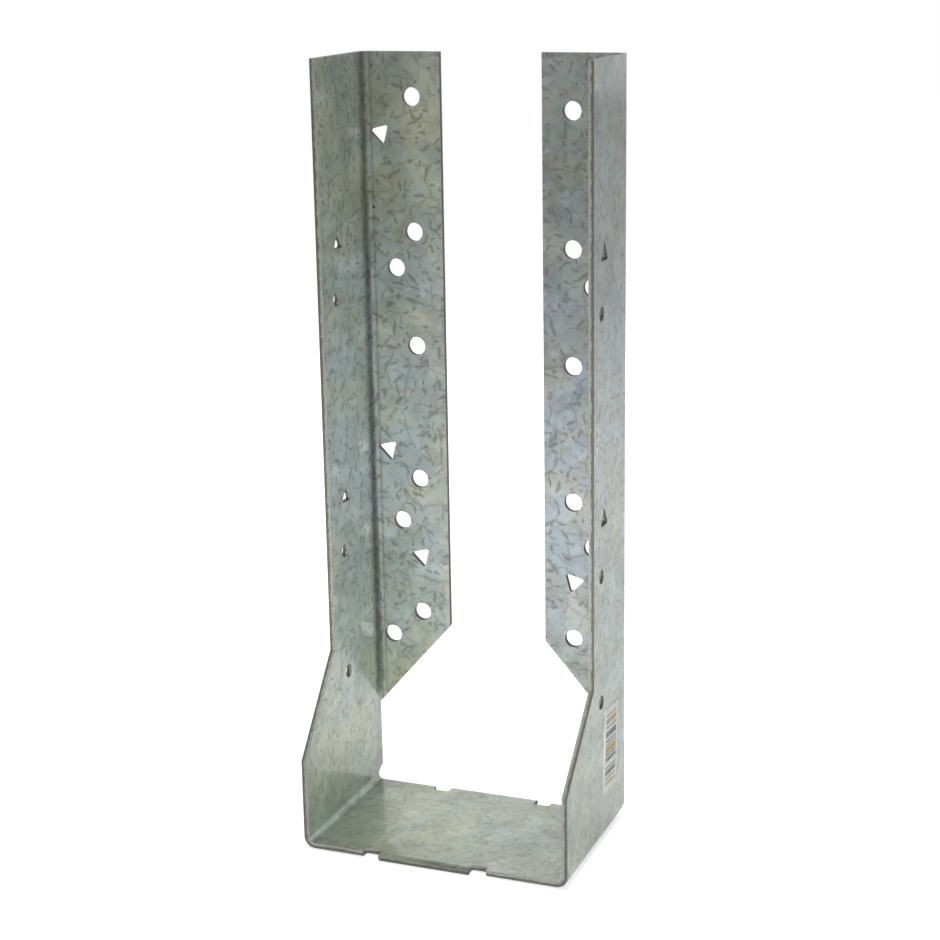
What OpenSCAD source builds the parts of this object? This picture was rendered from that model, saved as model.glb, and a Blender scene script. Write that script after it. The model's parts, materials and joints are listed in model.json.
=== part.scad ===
// Concealed-flange joist hanger: one strip of galvanized sheet, punched flat and folded.
// The seat and the two sides make a U that holds the joist. At its rear edge each side
// turns inward into a flange, which is nailed to the header behind.
// X runs across the joist, +Y towards the header, +Z up. The origin is on the surface
// the hanger stands on, under the middle of its width and depth.

/* [Sheet] */
// Thickness of the sheet
sheet_t = 1.9; // [1.4:0.1:2.3]
// Inside radius of the four long folds
fold_r = 2; // [1.5:0.1:4]

/* [Saddle] */
// Clear width between the sides, the joist's width
joist_w = 90.5; // [76:0.5:140]
// Height of the sides above the seat's underside
hanger_h = 261.9; // [240:0.1:320]
// Depth from the header's face to the seat's front edge
seat_depth = 65; // [55:0.5:90]
// Gap between the header's face and the seat's rear edge
seat_gap = 8.2; // [5:0.1:12]
// Depth of the upper part of the left side, from the header's face
left_side_depth = 39.6; // [34:0.1:50]
// Depth of the upper part of the right side, from the header's face
right_side_depth = 37; // [34:0.1:50]
// Gap between the header's face and the rear edge of the sides, below the flanges
side_gap = 2.8; // [1:0.1:2.8]
// Height at which the sides' front edge starts to slope back
toe_z = 31.3; // [15:0.1:40]
// Height at which the slope ends, on the left side
left_knee_z = 62.4; // [48:0.1:90]
// Height at which the slope ends, on the right side
right_knee_z = 57.9; // [48:0.1:90]

/* [Flanges] */
// Width of each flange, over the fold
flange_w = 29.2; // [26:0.1:40]
// Height of the lower corner on the left flange's free edge
left_tip_z = 61.6; // [54:0.1:90]
// Height of the lower corner on the right flange's free edge
right_tip_z = 60.3; // [54:0.1:90]
// Slope of the flanges' lower edge
flange_slope = 49; // [30:1:50]

/* [Header holes] */
// Diameter of the round holes in the flanges
header_hole_d = 6.35; // [4:0.05:8]
// Distance of the top round hole from the top edge
top_hole_down = 16.7; // [8:0.1:30]
// Heights of the other round holes in the outer column
outer_col_z = [199.9, 160.5, 113.1, 64];
// Heights of the middle column of round holes
middle_col_z = [187.4, 97.4];
// Height of the one round hole beside the fold
root_hole_z = 54.4; // [50:0.1:60]
// Outer column's distance from the side's outer face
outer_col_x = 18.8; // [17:0.1:22]
// Middle column's distance from the side's outer face
middle_col_x = 11.9; // [10.5:0.1:13]
// Distance of the column beside the fold from the side's outer face
root_col_x = 7.2; // [6.8:0.1:8]
// Distance of the top triangular hole, beside the fold, from the top edge
top_tri_down = 29; // [20:0.1:40]
// Height of the other triangular hole beside the fold
root_tri_z = 122.9; // [110:0.1:136]
// Height of the triangular hole in the outer column
outer_tri_z = 84.6; // [78:0.1:94]
// How much higher the left flange is punched, and how much lower the right one
stagger = 1.85; // [0:0.05:3]

/* [Joist holes] */
// Diameter of the round holes in the sides
joist_hole_d = 4.76; // [3:0.01:6]
// Heights of the round holes
joist_hole_z = [182.5, 95.1, 51.1];
// Heights of the triangular holes
joist_tri_z = [201.3, 114.1];
// Distance of the round holes from the header's face
joist_hole_y = 29.1; // [15:0.1:30]
// Distance of the triangular holes from the header's face
joist_tri_y = 26.3; // [15:0.1:30]

/* [Triangular holes] */
// Distance from the hole's middle to where its sides would meet
tri_corner = 4.3; // [3:0.1:5]
// Distance from the hole's middle to its rounded tips
tri_tip = 3.6; // [2.8:0.1:4.5]
// How far the flanges' triangles are turned from pointing straight down
tri_turn = 15; // [0:1:60]

/* [Seat lips] */
// Angle by which each lip is bent down
lip_angle = 25; // [5:1:40]
// Radius inside the lip's bend, on its underside
lip_r = 1.5; // [0.5:0.1:3]
// Straight length past the bend
lip_run = 0.8; // [0.3:0.1:2]
// Half the length of each lip
lip_half_w = 16.2; // [8:0.1:20]
// Distance from the front edge back to the front lip's bend
front_lip_inset = 0.8; // [0:0.1:1.4]
// Distance from the rear edge in to the rear lip's bend
rear_lip_inset = 0.1; // [0:0.1:1.4]
// Sideways place of the front lip's middle
front_lip_x = -3.2; // [-5:0.1:5]
// Sideways place of the rear lip's middle
rear_lip_x = 0; // [-5:0.1:5]
// Width of the notches at the lips' ends
notch_w = 5.8; // [4:0.1:8]
// Depth of the notches, from the seat's edge
notch_depth = 2.6; // [1.5:0.1:4]
// Radius of the notches' inner corners
notch_r = 1; // [0.3:0.1:1.5]

/* [Label] */
// Width of the paper label
label_w = 14.8; // [10:0.1:18]
// Height of the paper label
label_h = 29.8; // [20:0.1:36]
// Thickness of the paper label
label_t = 0.15; // [0.1:0.01:0.3]
// Distance of its middle from the header's face
label_y = 18.9; // [15:0.1:24]
// Height of its middle
label_z = 31.3; // [24:0.1:40]
// How far its top leans back
label_lean = 4; // [-10:1:10]

/* [Hidden] */
$fn = 64;
eps = 0.01;
cut_through = 10;                                 // reach of a cutting tool past the sheet
outer_r = fold_r + sheet_t;                       // outside radius of the folds
half_in = joist_w / 2;
half_out = half_in + sheet_t;
lip_out_r = lip_r + sheet_t;                      // top radius of the lips' bend
lip_reach = lip_out_r * sin(lip_angle) + lip_run * cos(lip_angle);
lip_drop = lip_r * (1 - cos(lip_angle)) + lip_run * sin(lip_angle);  // below the seat's underside
overall_depth = seat_depth - front_lip_inset + lip_reach;
header_y = overall_depth / 2;                     // the header's face
corner_r = seat_gap - side_gap;                   // rear corners, between the sides and the seat
corner_reach = 2.4;                               // how far up the bend they end, along a 45 degree line
LEFT = -1;
RIGHT = 1;

function knee_z(s) = s == LEFT ? left_knee_z : right_knee_z;
function side_depth(s) = s == LEFT ? left_side_depth : right_side_depth;
function tip_z(s) = s == LEFT ? left_tip_z : right_tip_z;
function rise(s) = s == LEFT ? stagger : -stagger;
// height of a flange's lower edge, by the distance from the side's outer face
function flange_edge_z(s, x) = tip_z(s) - (flange_w - x) * tan(flange_slope);

// ---- flat shapes ----

// An upright U outline whose two lower corners are rounded, standing on the X axis
module rounded_u(half_w, h, r) {
    translate([-half_w, r]) square([2 * half_w, h - r]);
    translate([-half_w + r, 0]) square([2 * (half_w - r), h]);
    for (s = [LEFT, RIGHT])
        translate([s * (half_w - r), r]) circle(r = r);
}

// The saddle's section across the joist
module saddle_section() {
    difference() {
        rounded_u(half_out, hanger_h, outer_r);
        translate([0, sheet_t]) rounded_u(half_in, hanger_h, fold_r);
    }
}

// Plan of the right flange and its fold, with the side's outer face on the Y axis
module flange_section() {
    difference() {
        union() {
            translate([-flange_w, -sheet_t]) square([flange_w - outer_r, sheet_t]);
            translate([-outer_r, -outer_r]) intersection() {
                circle(r = outer_r);
                square(outer_r);
            }
        }
        translate([-outer_r, -outer_r]) circle(r = fold_r);
    }
}

// Side view of a side, with Y towards the header and the header's face at 0
module side_outline(s) {
    polygon([
        [-seat_depth, -eps],
        [-seat_depth, toe_z],
        [-side_depth(s), knee_z(s)],
        [-side_depth(s), hanger_h],
        [-outer_r, hanger_h],
        [-outer_r, flange_edge_z(s, 0)],
        [-side_gap, flange_edge_z(s, 0)],
        [-side_gap, -eps]
    ]);
}

// A triangle with blunt, rounded tips, one of them pointing up
module blunt_triangle() {
    intersection() {
        circle(r = tri_tip);
        polygon([for (a = [90, 210, 330]) tri_corner * [cos(a), sin(a)]]);
    }
}

// Section of a lip, with its bend starting at 0 and the lip running to +X
module lip_section() {
    translate([0, -lip_r]) {
        intersection() {
            difference() {
                circle(r = lip_out_r);
                circle(r = lip_r);
            }
            polygon([[0, 0], [0, 2 * lip_out_r], 2 * lip_out_r * [sin(lip_angle), cos(lip_angle)]]);
        }
        rotate(-lip_angle) translate([0, lip_r]) square([lip_run, sheet_t]);
    }
}

// ---- tools that cut the sheet ----

// The open space behind the seat. At each end it turns up with the bend, so that its
// rounded corners reach the sides.
module rear_opening() {
    corner_x = half_in - sqrt(2) * (corner_r - corner_reach);
    translate([-corner_x, -seat_gap, -cut_through])
        cube([2 * corner_x, seat_gap + cut_through, 2 * cut_through]);
    for (s = [LEFT, RIGHT])
        translate([s * half_in, corner_r - seat_gap, sheet_t]) rotate([0, s * -45, 0])
            translate([s * (corner_reach - corner_r), 0, -cut_through])
                linear_extrude(2 * cut_through) {
                    circle(r = corner_r);
                    translate([s == LEFT ? -corner_r : 0, 0]) square([corner_r, cut_through]);
                }
}

// The notches at both ends of a lip, on a seat edge that runs along X
module notch_pair() {
    for (s = [LEFT, RIGHT])
        translate([s * (lip_half_w + notch_w / 2), -notch_depth, -cut_through])
            linear_extrude(2 * cut_through) rounded_u(notch_w / 2, cut_through, notch_r);
}

// What a seat edge loses where its lip is bent down
module lip_relief(inset) {
    translate([-lip_half_w, -inset, -cut_through])
        cube([2 * lip_half_w, cut_through, 2 * cut_through]);
    notch_pair();
}

// The holes of one side, through both faces
module joist_holes() {
    for (z = joist_hole_z)
        translate([-cut_through, -joist_hole_y, z]) rotate([0, 90, 0])
            cylinder(d = joist_hole_d, h = 2 * cut_through);
    for (z = joist_tri_z)
        translate([-cut_through, -joist_tri_y, z]) rotate([90, 0, 90])
            linear_extrude(2 * cut_through) blunt_triangle();
}

// The holes of the right flange, with the side's outer face at X = 0
module header_holes() {
    rounds = [
        [outer_col_x, hanger_h - top_hole_down],
        for (z = outer_col_z) [outer_col_x, z],
        for (z = middle_col_z) [middle_col_x, z],
        [root_col_x, root_hole_z]
    ];
    triangles = [
        [root_col_x, hanger_h - top_tri_down],
        [root_col_x, root_tri_z],
        [outer_col_x, outer_tri_z]
    ];
    for (p = rounds)
        translate([-p[0], cut_through, p[1]]) rotate([90, 0, 0])
            cylinder(d = header_hole_d, h = 2 * cut_through);
    for (p = triangles)
        translate([-p[0], cut_through, p[1]]) rotate([90, 0, 0]) linear_extrude(2 * cut_through)
            rotate(180 - tri_turn) blunt_triangle();
}

// Space below a flange's slanting edge, with the side's outer face at X = 0
module flange_cut(s) {
    low_z = flange_edge_z(s, 0);
    rotate([90, 0, 0]) linear_extrude(2 * cut_through, center = true)
        polygon([
            [cut_through, low_z - cut_through * tan(flange_slope)],
            [-flange_w - cut_through, flange_edge_z(s, flange_w + cut_through)],
            [-flange_w - cut_through, -cut_through],
            [cut_through, -cut_through]
        ]);
}

// ---- parts of the folded sheet ----

// Seat and sides, before their holes
module saddle() {
    difference() {
        rotate([90, 0, 0]) linear_extrude(seat_depth) saddle_section();
        for (s = [LEFT, RIGHT])
            translate([s == LEFT ? -half_out - eps : 0, 0, 0])
                rotate([90, 0, 90]) linear_extrude(half_out + eps) difference() {
                    translate([-2 * seat_depth, -sheet_t])
                        square([3 * seat_depth, hanger_h + 2 * sheet_t]);
                    side_outline(s);
                }
        rear_opening();
    }
}

// A lip along X, bent down towards +Y from Y = 0
module lip() {
    translate([-lip_half_w, 0, 0]) rotate([90, 0, 90]) linear_extrude(2 * lip_half_w) lip_section();
}

// One flange with its fold, and the top of the side's straight rear edge below the fold;
// s is the side that the flange belongs to
module flange(s) {
    low_z = flange_edge_z(s, 0);
    mirror([s == LEFT ? 1 : 0, 0, 0]) translate([half_out, 0, 0]) {
        difference() {
            translate([0, 0, low_z]) linear_extrude(hanger_h - low_z) flange_section();
            flange_cut(s);
            translate([0, 0, rise(s)]) header_holes();
        }
        intersection() {
            translate([-sheet_t, -outer_r, low_z]) cube([sheet_t, outer_r - side_gap, outer_r]);
            flange_cut(s);
        }
    }
}

// ---- the pieces ----

module hanger() {
    color([0.66, 0.69, 0.67]) translate([0, header_y, lip_drop]) {
        difference() {
            saddle();
            for (s = [LEFT, RIGHT])
                translate([s * half_out, 0, 0]) joist_holes();
            translate([front_lip_x, -seat_depth, 0]) rotate(180) lip_relief(front_lip_inset);
            translate([rear_lip_x, -seat_gap, 0]) lip_relief(rear_lip_inset);
        }
        for (s = [LEFT, RIGHT])
            flange(s);
        translate([front_lip_x, -seat_depth + front_lip_inset, 0]) rotate(180) lip();
        translate([rear_lip_x, -seat_gap - rear_lip_inset, 0]) lip();
    }
}

module label() {
    color([0.86, 0.86, 0.82])
        translate([half_out, header_y - label_y, lip_drop + label_z])
            rotate([-label_lean, 0, 0]) translate([0, -label_w / 2, -label_h / 2])
                cube([label_t, label_w, label_h]);
}

hanger();
label();
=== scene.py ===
"""Looks of the joist hanger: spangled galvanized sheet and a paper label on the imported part."""

import json
import math
from types import SimpleNamespace

import bpy
from mathutils import Matrix, Vector

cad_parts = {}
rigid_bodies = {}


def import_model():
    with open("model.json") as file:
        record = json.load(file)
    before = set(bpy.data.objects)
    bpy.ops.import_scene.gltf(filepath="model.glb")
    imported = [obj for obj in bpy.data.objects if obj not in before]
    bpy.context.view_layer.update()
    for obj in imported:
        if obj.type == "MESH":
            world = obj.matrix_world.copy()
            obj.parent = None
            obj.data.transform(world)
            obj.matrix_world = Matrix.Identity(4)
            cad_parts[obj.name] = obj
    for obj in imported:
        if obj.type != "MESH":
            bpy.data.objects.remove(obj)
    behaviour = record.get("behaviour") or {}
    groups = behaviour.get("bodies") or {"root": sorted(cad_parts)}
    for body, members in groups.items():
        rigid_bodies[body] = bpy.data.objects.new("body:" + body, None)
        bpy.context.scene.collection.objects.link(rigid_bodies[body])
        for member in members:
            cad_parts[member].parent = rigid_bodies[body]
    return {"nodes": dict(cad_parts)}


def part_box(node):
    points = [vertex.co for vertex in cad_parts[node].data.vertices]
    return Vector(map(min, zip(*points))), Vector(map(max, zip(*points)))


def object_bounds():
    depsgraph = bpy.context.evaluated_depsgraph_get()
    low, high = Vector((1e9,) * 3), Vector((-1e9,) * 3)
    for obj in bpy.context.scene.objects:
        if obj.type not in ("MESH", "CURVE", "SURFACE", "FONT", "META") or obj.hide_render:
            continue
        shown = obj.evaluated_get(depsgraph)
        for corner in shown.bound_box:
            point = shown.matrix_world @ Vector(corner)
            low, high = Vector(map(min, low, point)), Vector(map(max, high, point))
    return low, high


MM = 0.001

for thing in list(bpy.data.objects):
    bpy.data.objects.remove(thing)

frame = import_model()
cad_low, cad_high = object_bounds()

# Sizes of the part that the masks below follow
SHEET = 1.9 * MM
FOLD = 2.0 * MM                          # inside radius of the folds
PAPER = 0.15 * MM                        # the label stands this far off the right side
HALF_IN = cad_high.x - PAPER - SHEET     # half the clear width between the sides
HEADER_Y = cad_high.y                    # the face that touches the header
FLANGE_Y = HEADER_Y - SHEET              # the flanges' front face
SEAT_TOP = 2.379 * MM


# ---- camera ----

def make_camera():
    """The photograph's viewing angle: from the front right and a little above."""
    place = Vector((0.2391, -0.5969, 0.3026))
    yaw, pitch, roll = (math.radians(angle) for angle in (21.577, 15.111, -0.956))
    forward = Vector((
        -math.sin(yaw) * math.cos(pitch),
        math.cos(yaw) * math.cos(pitch),
        -math.sin(pitch),
    ))
    level = Vector((math.cos(yaw), math.sin(yaw), 0))
    upright = level.cross(forward)
    right = math.cos(roll) * level + math.sin(roll) * upright
    up = -math.sin(roll) * level + math.cos(roll) * upright
    data = bpy.data.cameras.new("camera")
    data.sensor_width = 36
    data.lens = 77.33
    data.clip_start = 0.01
    camera = bpy.data.objects.new("camera", data)
    turn = Matrix((right, up, -forward)).transposed().to_4x4()
    camera.matrix_world = Matrix.Translation(place) @ turn
    bpy.context.scene.collection.objects.link(camera)
    bpy.context.scene.camera = camera


# ---- node helpers ----

class Graph:
    """Short calls for building one material's or the world's nodes."""

    def __init__(self, owner):
        owner.use_nodes = True
        self.tree = owner.node_tree
        self.tree.nodes.clear()

    def feed(self, socket, value):
        """Link a socket to another one, or give it a plain value."""
        if isinstance(value, bpy.types.NodeSocket):
            self.tree.links.new(value, socket)
        else:
            socket.default_value = value

    def add(self, kind, inputs=None, **settings):
        made = self.tree.nodes.new("ShaderNode" + kind)
        for key, value in settings.items():
            setattr(made, key, value)
        for key, value in (inputs or {}).items():
            self.feed(made.inputs[key], value)
        return made

    def math(self, operation, *values):
        return self.add("Math", dict(enumerate(values)), operation=operation).outputs[0]

    def chain(self, operation, values):
        result = values[0]
        for value in values[1:]:
            result = self.math(operation, result, value)
        return result

    def total(self, *values):
        return self.chain("ADD", values)

    def product(self, *values):
        return self.chain("MULTIPLY", values)

    def above(self, value, limit):
        return self.math("GREATER_THAN", value, limit)

    def absolute(self, value):
        return self.math("ABSOLUTE", value)

    def vector(self, operation, *values):
        made = self.add("VectorMath", dict(enumerate(values)), operation=operation)
        return made.outputs[1 if operation in ("DOT_PRODUCT", "LENGTH") else 0]

    def scaled(self, vector, factor):
        made = self.add("VectorMath", {0: vector, "Scale": factor}, operation="SCALE")
        return made.outputs[0]

    def centred(self, colour):
        """A random colour as a vector that points any way."""
        return self.vector("SUBTRACT", colour, (0.5, 0.5, 0.5))

    def scale(self, value, low, high, start, end, interpolation="LINEAR"):
        """start at low and end at high, in a straight line between them, and level beyond them."""
        sizes = {"Value": value, "From Min": low, "From Max": high, "To Min": start, "To Max": end}
        return self.add("MapRange", sizes, interpolation_type=interpolation).outputs[0]

    def step(self, value, low, high, start=0.0, end=1.0):
        """start below low, end above high, and a smooth change between them."""
        return self.scale(value, low, high, start, end, "SMOOTHSTEP")

    def between(self, share, start, end):
        return self.scale(share, 0, 1, start, end)

    def from_noise(self, noise, start, end):
        """Noise mostly lies between 0.3 and 0.7; this spreads that part from start to end."""
        return self.scale(noise, 0.3, 0.7, start, end)

    def mix(self, share, a, b, blend="MIX"):
        made = self.add("Mix", {0: share}, data_type="RGBA", blend_type=blend)
        for index, value in ((6, a), (7, b)):
            self.feed(made.inputs[index], (*value, 1) if isinstance(value, tuple) else value)
        return made.outputs[2]

    def noise(self, at, scale, detail=2.0, output=0):
        """Output 0 is a value and output 1 is a colour."""
        made = self.add("TexNoise", {"Vector": at, "Scale": scale, "Detail": detail})
        return made.outputs[output]

    def cells(self, at, per_metre, inputs=None, feature="F1"):
        """The outputs of random cells on a flat face."""
        inputs = {"Vector": at, "Scale": per_metre, **(inputs or {})}
        return self.add("TexVoronoi", inputs, voronoi_dimensions="2D", feature=feature).outputs

    def split(self, vector):
        return self.add("SeparateXYZ", {0: vector}).outputs

    def join(self, x=0.0, y=0.0, z=0.0):
        return self.add("CombineXYZ", {0: x, 1: y, 2: z}).outputs[0]

    def output(self, surface, kind="OutputMaterial"):
        self.add(kind, {"Surface": surface})


# ---- galvanized sheet: colours ----

# The zinc's base colours, as linear red, green and blue, before its brightness
GREEN_GREY = (0.296, 0.334, 0.306)
BLUE_GREY = (0.299, 0.342, 0.348)
SIDE_GREY = (0.278, 0.334, 0.340)
LOW_OLIVE = (0.316, 0.358, 0.250)
OUTSIDE_GREY = (0.258, 0.332, 0.328)
HAZE_BLUE = (0.278, 0.332, 0.356)
HAZE_OLIVE = (0.338, 0.356, 0.278)
# The next colour tints the painted shadow at the foot of the left side.
FOOT_SHADOW_GREEN = (0.262, 0.345, 0.296)
WARM_CRYSTAL = (0.380, 0.345, 0.262)
BRIGHTNESS = 1.4                         # of all of the zinc

# Factors on those colours
WARMER = (1.03, 1.00, 0.89)
COOLER = (1.00, 1.00, 1.09)

MARK = (0.142, 0.132, 0.100)
MARK_LOW = (0.170, 0.138, 0.090)
CUT_DARK = (0.135, 0.131, 0.115)
CUT_BRIGHT = (0.330, 0.350, 0.310)

# The one dark speck, on the left flange beside the fold
SPECK = (0.020, 0.020, 0.018)
SPECK_PLACE = (-HALF_IN + 2.3 * MM, FLANGE_Y, 210.3 * MM)

# Cells per metre of the crystals, and scale of the noises, from coarse to fine
CRYSTALS, SMALL_CRYSTALS = 120, 300
CLOUD, SMEAR, GRAIN = 22, 95, 1100

# The dark lines between crystals: cells per metre, width, and the noise level below which they show
LINES = (150, 0.9 * MM, 0.52)

# Leaf-shaped marks: the pattern's shift, cells per metre, the largest length and the width of a
# mark, and the share of the cells that have one, full or fading
LEAVES = (
    ((0.00, 0.00, 0), 190, 5.2 * MM, 1.50 * MM, 0.78),
    ((0.31, 0.17, 0), 270, 3.2 * MM, 1.40 * MM, 0.68),
    ((0.73, 0.41, 0), 120, 7.8 * MM, 1.65 * MM, 0.72),
)
LEAF_CURVE = 60                          # the most that a leaf bends to either side, per metre
UNEVEN = (0.5, 1.4)                      # the width of lines and leaves varies between these


# ---- galvanized sheet: masks ----

def on_sheet(g, place, normal):
    """Flat coordinates that follow the faces of the folded sheet, each face in its own region."""
    x, y, z = g.split(place)
    nx, _, nz = g.split(normal)
    faces_along = 0.7                    # the part of a unit normal that settles the face
    is_side = g.above(g.absolute(nx), faces_along)
    is_seat = g.above(g.absolute(nz), faces_along)
    off_grid = 13.7 * MM                 # keeps the noise clear of its own grid plane
    back = g.join(x, g.total(z, 0.5), off_grid)
    side = g.join(g.total(g.product(g.math("SIGN", x), 0.3), y), z, off_grid)
    seat = g.join(x, g.math("SUBTRACT", y, 0.5), off_grid)
    return g.mix(is_seat, g.mix(is_side, back, side), seat)


def sheared(g, place, normal):
    """How far through the sheet a point is, 0 inside and 1 outside, and a mask of the cut edges."""
    x, y, z = g.split(place)
    across = g.math("MAXIMUM", g.math("SUBTRACT", g.absolute(x), HALF_IN - FOLD), 0.0)
    back = g.math("MAXIMUM", g.math("SUBTRACT", y, FLANGE_Y - FOLD), 0.0)
    down = g.math("MAXIMUM", g.math("SUBTRACT", SEAT_TOP + FOLD, z), 0.0)
    reach = g.join(g.product(across, g.math("SIGN", x)), back, g.product(down, -1.0))
    through = g.scale(g.vector("LENGTH", reach), FOLD, FOLD + SHEET, 0, 1)
    facing = g.absolute(g.vector("DOT_PRODUCT", g.vector("NORMALIZE", reach), normal))
    return through, g.step(facing, 0.80, 0.84, 1, 0)


def fold_shade_band(g, place, through):
    """A mask of the band inside the upright folds that is painted darker as shade, widest on the
    side panels.
    """
    x, y, z = g.split(place)
    start = FLANGE_Y - FOLD
    return g.product(
        g.step(y, start - 5 * MM, start),
        g.step(y, start + 0.85 * FOLD, start + 1.25 * FOLD, 1, 0),
        g.step(g.absolute(x), HALF_IN - 1.5 * FOLD, HALF_IN - 0.9 * FOLD),
        g.step(z, 32 * MM, 40 * MM),
        g.step(through, 0.3, 0.5, 1, 0),
    )


def regions(g, place, normal, cloud):
    """Masks of the parts of the sheet that differ in brightness or tint, by name.

    The two that darken the right side are amounts of brightness already: painted shade, the outside
    darker all over and both darker towards the top.
    """
    x, _, z = g.split(place)
    nx, front, up = g.split(normal)
    left = g.math("LESS_THAN", x, 0.0)
    right = g.above(x, 0.0)
    right_outside = g.product(right, g.above(nx, 0.5))
    right_inside = g.math("SUBTRACT", right, right_outside)
    faces_up = g.above(up, 0.5)
    ragged_z = g.total(z, g.from_noise(cloud, -20 * MM, 20 * MM))
    return SimpleNamespace(
        side=g.above(g.absolute(nx), 0.5),
        low=g.step(ragged_z, 0, 100 * MM, 1, 0),
        seat=faces_up,
        seat_lip=g.product(g.step(z, SEAT_TOP - 0.35 * MM, SEAT_TOP - 0.05 * MM, 1, 0), faces_up),
        left_flange=g.product(left, g.math("LESS_THAN", front, -0.5)),
        left_top=g.product(left, g.step(z, 175 * MM, 205 * MM)),
        # Painted shadow: the seat beside the left side and the left side's lowest part.
        left_foot_shadow=g.product(
            g.step(x, -HALF_IN, -HALF_IN + 22 * MM, 1, 0),
            g.step(z, 5 * MM, 30 * MM, 1, 0),
        ),
        right_outside=right_outside,
        # Painted shade: the right side's outside darker all over and most at its top, its inside
        # darker towards the top.
        right_outside_shade=g.product(right_outside, g.step(z, 225 * MM, 250 * MM, -0.14, -0.38)),
        right_inside_top_shade=g.product(right_inside, g.step(z, 120 * MM, 180 * MM, 0, -0.17)),
        right_middle=g.product(right_inside, g.step(z, 170 * MM, 200 * MM, 1, 0)),
    )


# ---- galvanized sheet: pattern ----

def leaves(g, at, cells_per_m, length, width, share):
    """Short leaf-shaped marks, one in some of the cells, each turned and weighted its own way."""
    cell = g.cells(at, cells_per_m)
    way, size, luck = g.split(cell["Color"])
    offset = g.vector("SUBTRACT", at, cell["Position"])
    turned = g.add(
        "VectorRotate",
        {"Vector": offset, "Angle": g.product(way, 2 * math.pi)},
        rotation_type="Z_AXIS",
    ).outputs[0]
    along, aside, _ = g.split(turned)
    curve = g.product(g.between(size, -LEAF_CURVE, LEAF_CURVE), g.product(along, along))
    aside = g.absolute(g.total(aside, curve))
    reach = g.math("DIVIDE", along, g.between(size, 0.45, 1.0))
    reach = g.math("DIVIDE", reach, length / 2)
    taper = g.math("MAXIMUM", g.math("SUBTRACT", 1.0, g.product(reach, reach)), 0.02)
    swell = g.from_noise(g.noise(at, 800, 1), *UNEVEN)
    aside = g.math("DIVIDE", aside, g.product(swell, taper))
    body = g.step(aside, 0.0, width * 0.8, 1, 0)
    return g.product(body, g.step(luck, share * 0.3, share, 1, 0))


def boundaries(g, at, cells_per_m, width, limit):
    """Pieces of the thin dark lines that run between crystals, where a noise is below the limit."""
    edge = g.cells(at, cells_per_m, feature="DISTANCE_TO_EDGE")["Distance"]
    aside = g.math("DIVIDE", edge, cells_per_m)
    swell = g.from_noise(g.noise(at, 700, 1), *UNEVEN)
    line = g.step(g.math("DIVIDE", aside, swell), 0.0, width * 0.8, 1, 0)
    here = g.noise(g.vector("ADD", at, (0.9, 0.2, 0)), 230)
    soft = 0.04
    return g.product(line, g.step(here, limit - soft, limit + soft, 1, 0))


def dark_marks(g, at, low):
    """How dark the sheet is drawn: crystal boundaries and leaves, fainter near the seat."""
    dark = g.product(boundaries(g, at, *LINES), 0.6)
    for shift, cells_per_m, length, width, share in LEAVES:
        mark = leaves(g, g.vector("ADD", at, shift), cells_per_m, length, width, share)
        dark = g.math("MAXIMUM", dark, mark)
    return g.product(dark, g.between(low, 0.60, 0.36))


def zinc(g, flat, crystal, small, cloud, smear, grain, region):
    """The zinc's colour without the marks: its brightness, then one tint over the other."""
    tone, tint, _ = g.split(crystal)
    small_tone, small_tint, _ = g.split(small)
    level = g.total(
        1.0,
        g.between(tone, -0.11, 0.11),
        g.between(small_tone, -0.09, 0.09),
        g.from_noise(cloud, -0.07, 0.07),
        g.from_noise(smear, -0.10, 0.10),
        g.from_noise(grain, -0.04, 0.04),
        # Painted light: the left flange is drawn lighter.
        g.product(region.left_flange, 0.05),
        # Painted shade on the right side, darker towards its top.
        region.right_outside_shade,
        region.right_inside_top_shade,
        # Painted shadow at the foot of the left side, drawn darker.
        g.product(region.left_foot_shadow, -0.18),
        # Painted shade: the seat is drawn darker.
        g.product(region.seat, -0.08),
    )
    haze = g.noise(g.vector("ADD", flat, (0.21, 0.43, 0)), 40, 3)
    colour = g.mix(g.step(tint, 0.2, 0.8), GREEN_GREY, BLUE_GREY)
    for share, over in (
        (g.product(region.side, 0.5), SIDE_GREY),
        (g.product(region.low, 0.8), LOW_OLIVE),
        (g.product(region.right_outside, 0.6), OUTSIDE_GREY),
        (g.product(g.step(haze, 0.50, 0.66), g.between(region.low, 0.6, 0.35)), HAZE_BLUE),
        (g.step(haze, 0.50, 0.34, 0, 0.6), HAZE_OLIVE),
        # Painted shadow at the foot of the left side, tinted green.
        (g.product(region.left_foot_shadow, 0.6), FOOT_SHADOW_GREEN),
        (g.step(small_tint, 0.70, 0.98, 0, 0.32), WARM_CRYSTAL),
    ):
        colour = g.mix(share, colour, over)
    colour = g.mix(region.left_top, colour, WARMER, "MULTIPLY")
    colour = g.mix(region.right_middle, colour, COOLER, "MULTIPLY")
    return g.scaled(colour, g.product(level, BRIGHTNESS))


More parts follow.
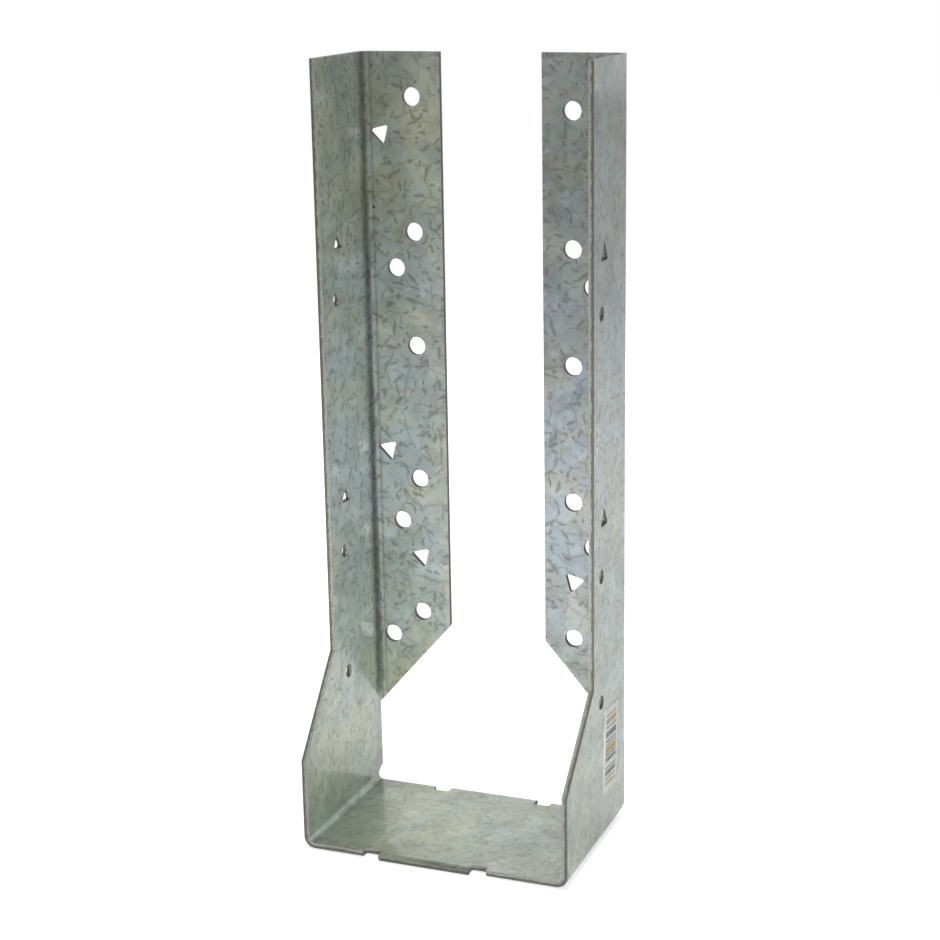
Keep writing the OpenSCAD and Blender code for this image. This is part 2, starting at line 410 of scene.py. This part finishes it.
def cut_colour(g, place, normal, through, grain):
    """The sheared edges: dark, with a bright zone through half of the sheet's thickness.

    The bright zone shows on edges that face the front and on all edges near the seat, but not on
    the flanges' edges and holes: partly the real burnished zone of the shear, partly painted
    highlight. All of the cut is drawn darker towards the floor as painted shade.
    """
    x, _, z = g.split(place)
    _, front, _ = g.split(normal)
    ragged = g.total(through, g.from_noise(g.noise(place, 420), -0.14, 0.14))
    faces_front = g.step(front, -0.7, -0.5, 1, 0)
    near_seat = g.step(z, 30 * MM, 34 * MM, 1, 0)
    by_side = g.above(g.absolute(x), HALF_IN - FOLD)
    on_seat = g.math("LESS_THAN", z, 15 * MM)
    bright = g.product(
        g.step(ragged, 0.42, 0.56, 1, 0),
        g.math("MAXIMUM", faces_front, near_seat),
        g.math("MAXIMUM", by_side, on_seat),
    )
    colour = g.mix(bright, CUT_DARK, CUT_BRIGHT)
    # Painted shade: the cut edges are darker towards the floor.
    colour = g.scaled(colour, g.step(z, 0, 120 * MM, 0.5, 1.0))
    return g.scaled(colour, g.from_noise(grain, 0.8, 1.15))


# ---- galvanized sheet: material ----

def galvanized(name):
    """Rough metal under a clear glossy layer, with crystals that slope and shade their own way."""
    material = bpy.data.materials.new(name)
    g = Graph(material)
    place = g.add("TexCoord").outputs["Object"]
    normal = g.add("NewGeometry").outputs["True Normal"]
    flat = on_sheet(g, place, normal)
    through, cut = sheared(g, place, normal)
    fold_shade = fold_shade_band(g, place, through)

    wander = g.centred(g.noise(flat, 170, output=1))
    bent = g.vector("ADD", flat, g.scaled(wander, 3.2 * MM))
    crystal = g.cells(bent, CRYSTALS, {"Smoothness": 0.25}, "SMOOTH_F1")
    small = g.cells(bent, SMALL_CRYSTALS, {"Smoothness": 0.3}, "SMOOTH_F1")
    cloud = g.noise(flat, CLOUD, 3)
    smear = g.noise(flat, SMEAR, 3)
    grain = g.noise(flat, GRAIN, 3)
    region = regions(g, place, normal, cloud)
    dark = dark_marks(g, bent, region.low)

    colour = zinc(g, flat, crystal["Color"], small["Color"], cloud, smear, grain, region)
    colour = g.mix(dark, colour, g.mix(region.low, MARK, MARK_LOW))
    # Painted shade: the band inside the upright folds is drawn darker.
    colour = g.scaled(colour, g.between(fold_shade, 1.0, 0.55))
    # Painted shade: the seat's bent-down lip is drawn darker.
    colour = g.scaled(colour, g.between(region.seat_lip, 1.0, 0.45))
    from_speck = g.vector("LENGTH", g.vector("SUBTRACT", place, SPECK_PLACE))
    colour = g.mix(g.step(from_speck, 0.35 * MM, 0.65 * MM, 0.9, 0), colour, SPECK)
    colour = g.mix(cut, colour, cut_colour(g, place, normal, through, grain))

    sheen = g.split(crystal["Color"])[2]
    roughness = g.total(
        g.between(sheen, 0.275, 0.32),
        g.product(dark, 0.15),
        g.product(cut, 0.35),
        g.product(fold_shade, 0.20),
    )

    # Each crystal is a plane that slopes its own way, and nearly level in the folds
    from_middle = g.vector("SUBTRACT", g.vector("MULTIPLY", bent, (1, 1, 0)), crystal["Position"])
    slope = g.vector("DOT_PRODUCT", from_middle, g.centred(crystal["Color"]))
    height = g.total(
        g.product(slope, g.between(fold_shade, 0.013, 0.004)),
        g.product(dark, -0.002 * MM),
        g.product(smear, 0.030 * MM),
        g.product(grain, 0.006 * MM),
    )
    bump = g.add("Bump", {"Height": height, "Strength": 1.0, "Distance": 1.0}).outputs[0]

    shader = g.add("BsdfPrincipled", {
        "Base Color": colour,
        "Roughness": roughness,
        "Metallic": g.between(cut, 0.8, 0.1),
        "Coat Weight": g.between(cut, 1.0, 0.1),
        "Coat Roughness": 0.08,
        "Normal": bump,
    })
    g.output(shader.outputs[0])
    return material


# ---- paper label ----

WHITE = (0.560, 0.575, 0.545)
GREY = (0.095, 0.100, 0.090)
BLUE = (0.115, 0.135, 0.165)
TAN = (0.360, 0.245, 0.095)

# All in mm: the label's height and width, its lean in degrees, and the plain bars across it, each
# with its start below the label's top and its height
LABEL_TALL, LABEL_WIDE = 29.8, 14.8
LABEL_LEAN = 4
BARS = (
    (2.4, 0.7, TAN), (4.0, 0.4, GREY), (4.5, 1.2, TAN), (6.6, 0.5, GREY), (8.3, 2.1, BLUE),
    (11.5, 0.5, GREY), (12.7, 0.5, GREY), (13.7, 2.3, TAN), (16.4, 0.5, GREY),
    (17.5, 1.5, BLUE), (21.0, 0.5, GREY), (22.2, 1.6, BLUE), (24.7, 0.6, TAN), (26.4, 0.9, TAN),
)


def bar_colours(g, share):
    """White with the bars' colours, where share runs from 0 at the label's top to 1 at its foot."""
    ramp = g.add("ValToRGB", {0: share})
    stops = ramp.color_ramp
    stops.interpolation = "CONSTANT"
    stops.elements[0].color = (*WHITE, 1)
    stops.elements.remove(stops.elements[1])
    for start, height, ink in BARS:
        stops.elements.new(start / LABEL_TALL).color = (*ink, 1)
        stops.elements.new((start + height) / LABEL_TALL).color = (*WHITE, 1)
    return ramp.outputs[0]


def paper(name):
    """Matt white paper with plain bars of colour between two white margins."""
    material = bpy.data.materials.new(name)
    g = Graph(material)
    place = g.add("TexCoord").outputs["Object"]
    low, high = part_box("label")
    middle = (low + high) / 2
    sine, cosine = math.sin(math.radians(LABEL_LEAN)), math.cos(math.radians(LABEL_LEAN))
    _, y, z = g.split(g.vector("SUBTRACT", place, tuple(middle)))
    across = g.total(g.product(y, cosine), g.product(z, -sine))
    down = g.total(g.product(y, -sine), g.product(z, -cosine))

    half_tall, half_wide = LABEL_TALL / 2 * MM, LABEL_WIDE / 2 * MM
    bars = bar_colours(g, g.scale(down, -half_tall, half_tall, 0, 1))
    inside = g.product(
        g.step(across, -half_wide + 1.7 * MM, -half_wide + 2.0 * MM),
        g.step(across, half_wide - 2.2 * MM, half_wide - 1.9 * MM, 1, 0),
    )
    worn = g.step(g.noise(place, 900), 0.3, 0.6, 0.7, 1)
    colour = g.mix(g.product(inside, worn), WHITE, bars)
    colour = g.scaled(colour, g.from_noise(g.noise(place, 250, 3), 0.92, 1.05))
    fibre = g.noise(place, 2500, 3)
    bump = g.add("Bump", {"Height": fibre, "Strength": 0.3, "Distance": 0.05 * MM}).outputs[0]
    shader = g.add("BsdfPrincipled", {
        "Base Color": colour,
        "Roughness": g.between(fibre, 0.55, 0.7),
        "Normal": bump,
    })
    g.output(shader.outputs[0])
    return material


# ---- floor, world and lamps ----

FLOOR_HALF = 3.0
FLOOR_COLOUR = (0.72, 0.72, 0.71, 1)
PLAIN_WHITE = (1, 1, 1, 1)

# Name, place, aim, size in metres, watts and spread in degrees
LAMPS = (
    ("front", (0.15, -0.70, 0.06), (0, 0, -0.10), (0.4, 0.08), 0.550, 50),
    ("front_floor", (0.10, -0.30, 0.03), (0, 0, 0), (0.4, 0.05), 0.390, 180),
    ("right", (0.55, -0.45, 0.05), (0, 0, 0), (0.4, 0.1), 2.43, 180),
    ("top", (0.0, 0.05, 0.9), (0, 0, 0), (0.5, 0.5), 7.43, 180),
    ("back", (-0.3, 0.8, 0.4), (0, 0, 0.12), (0.8, 0.6), 1.33, 180),
)


def make_floor():
    """A pale floor: the camera sees white further out, and the metal's reflections see grey."""
    material = bpy.data.materials.new("floor")
    g = Graph(material)
    path = g.add("LightPath").outputs
    away = g.vector("LENGTH", g.add("TexCoord").outputs["Object"])
    seen = g.product(path["Is Camera Ray"], g.step(away, 0.20, 0.50, 0.62, 1.0))
    mirrored = g.product(path["Is Glossy Ray"], g.step(away, 0.20, 0.60, 0.16, 0.40))
    plain = g.add("BsdfDiffuse", {"Color": FLOOR_COLOUR}).outputs[0]
    light = g.add("Emission", {"Color": PLAIN_WHITE, "Strength": g.total(seen, mirrored)})
    g.output(g.add("AddShader", {0: plain, 1: light.outputs[0]}).outputs[0])
    mesh = bpy.data.meshes.new("floor")
    corners = [(x * FLOOR_HALF, y * FLOOR_HALF, 0) for x, y in ((-1, -1), (1, -1), (1, 1), (-1, 1))]
    mesh.from_pydata(corners, [], [(0, 1, 2, 3)])
    mesh.materials.append(material)
    floor = bpy.data.objects.new("floor", mesh)
    floor.location = (0, 0, -0.05 * MM)
    bpy.context.scene.collection.objects.link(floor)


def make_world():
    """White to the camera; reflections see grey in front, brighter behind and white overhead."""
    world = bpy.data.worlds.new("studio")
    bpy.context.scene.world = world
    g = Graph(world)
    path = g.add("LightPath").outputs
    _, y, z = g.split(g.add("TexCoord").outputs["Generated"])
    around = g.step(y, -0.4, 0.4, 0.57, 0.80)
    mirrored = g.product(path["Is Glossy Ray"], g.step(z, 0.5, 0.9, around, 1.0))
    ambient = g.product(path["Is Diffuse Ray"], 0.02)
    strength = g.total(ambient, path["Is Camera Ray"], mirrored)
    sky = g.add("Background", {"Color": PLAIN_WHITE, "Strength": strength})
    g.output(sky.outputs[0], "OutputWorld")


def make_lamp(name, place, aim, size, watts, spread):
    """A soft lamp that neither the camera nor reflections see."""
    data = bpy.data.lights.new(name, "AREA")
    data.shape = "RECTANGLE"
    data.size, data.size_y = size
    data.energy = watts
    data.spread = math.radians(spread)
    lamp = bpy.data.objects.new(name, data)
    lamp.location = place
    lamp.rotation_euler = (Vector(aim) - Vector(place)).to_track_quat("-Z", "Y").to_euler()
    lamp.visible_camera = False
    lamp.visible_glossy = False
    bpy.context.scene.collection.objects.link(lamp)


bpy.context.scene.view_settings.view_transform = "Standard"
make_camera()
make_floor()
make_world()
for lamp in LAMPS:
    make_lamp(*lamp)

frame["nodes"]["hanger"].data.materials[0] = galvanized("galvanized_sheet")
frame["nodes"]["label"].data.materials[0] = paper("label_paper")
